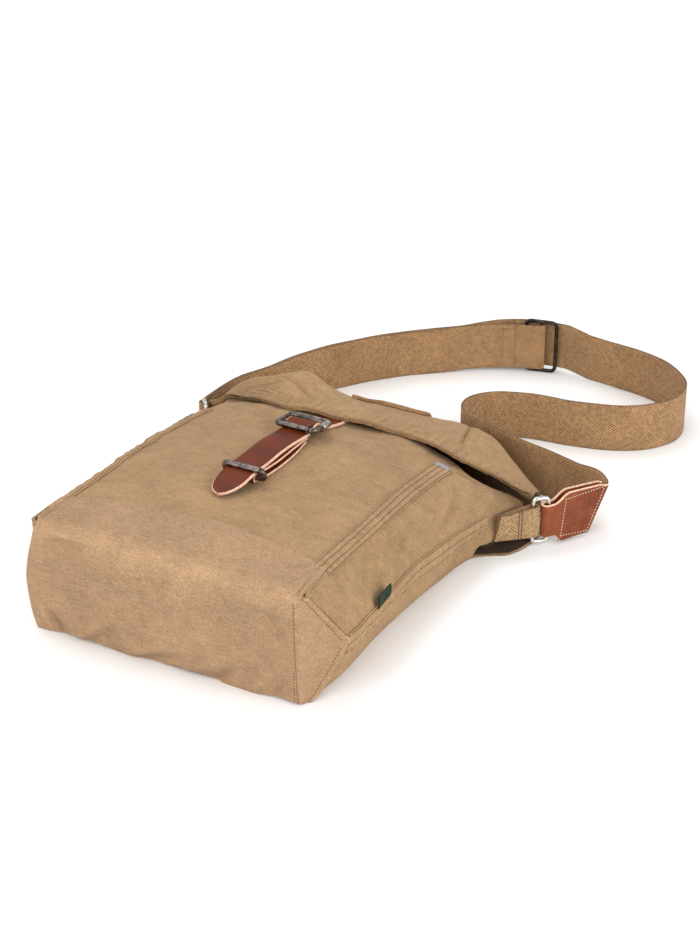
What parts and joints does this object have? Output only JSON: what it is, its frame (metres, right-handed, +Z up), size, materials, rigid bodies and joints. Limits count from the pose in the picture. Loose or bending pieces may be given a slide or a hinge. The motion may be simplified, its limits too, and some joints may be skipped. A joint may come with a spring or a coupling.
{
  "type": "shoulder bag",
  "caption": "Canvas shoulder bag lying on its back, top folded forward, with a leather strap buckled over the front and a long webbing shoulder strap laid in a loop behind it",
  "frame": {"origin": "on the surface that the bag lies on, in the middle of the flat back panel, halfway between the base and the front mouth edge", "axes": "+X across the bag to the right as seen from the base end; +Y from the base to the mouth; +Z up, out of the front of the bag"},
  "size_m": [0.3173, 0.4943, 0.0957],
  "materials": {
    "body_canvas": "tan cotton canvas, matte",
    "base_canvas": "slightly pinker tan cotton canvas, matte",
    "webbing": "brown cotton webbing with a ribbed weave",
    "strap_leather": "red-brown saddle leather with pale raw edges",
    "dark_metal": "antique silver, darkened in the hollows",
    "bright_metal": "polished nickel",
    "black_metal": "blackened metal",
    "label_cloth": "dark green woven label, plain"
  },
  "bodies": {
    "root": {"base_panel": "base_canvas", "front_panel": "body_canvas", "side_panel_right": "body_canvas", "side_panel_left": "body_canvas", "back_panel": "body_canvas", "folded_top": "body_canvas", "folded_top_hem": "body_canvas", "front_seam_right": "body_canvas", "front_seam_left": "body_canvas", "side_seam_right": "body_canvas", "side_seam_left": "body_canvas", "hang_loop": "webbing", "side_label": "label_cloth", "closure_strap": "strap_leather", "closure_holder": "strap_leather", "closure_keeper": "dark_metal", "buckle_frame": "dark_metal", "buckle_bar": "dark_metal", "ring_right": "bright_metal", "ring_left": "bright_metal", "ring_tab_right": "webbing", "ring_tab_left": "webbing", "leather_tab": "strap_leather", "shoulder_strap": "webbing", "slider_frame": "black_metal", "slider_bar": "black_metal"}
  },
  "joints": []
}
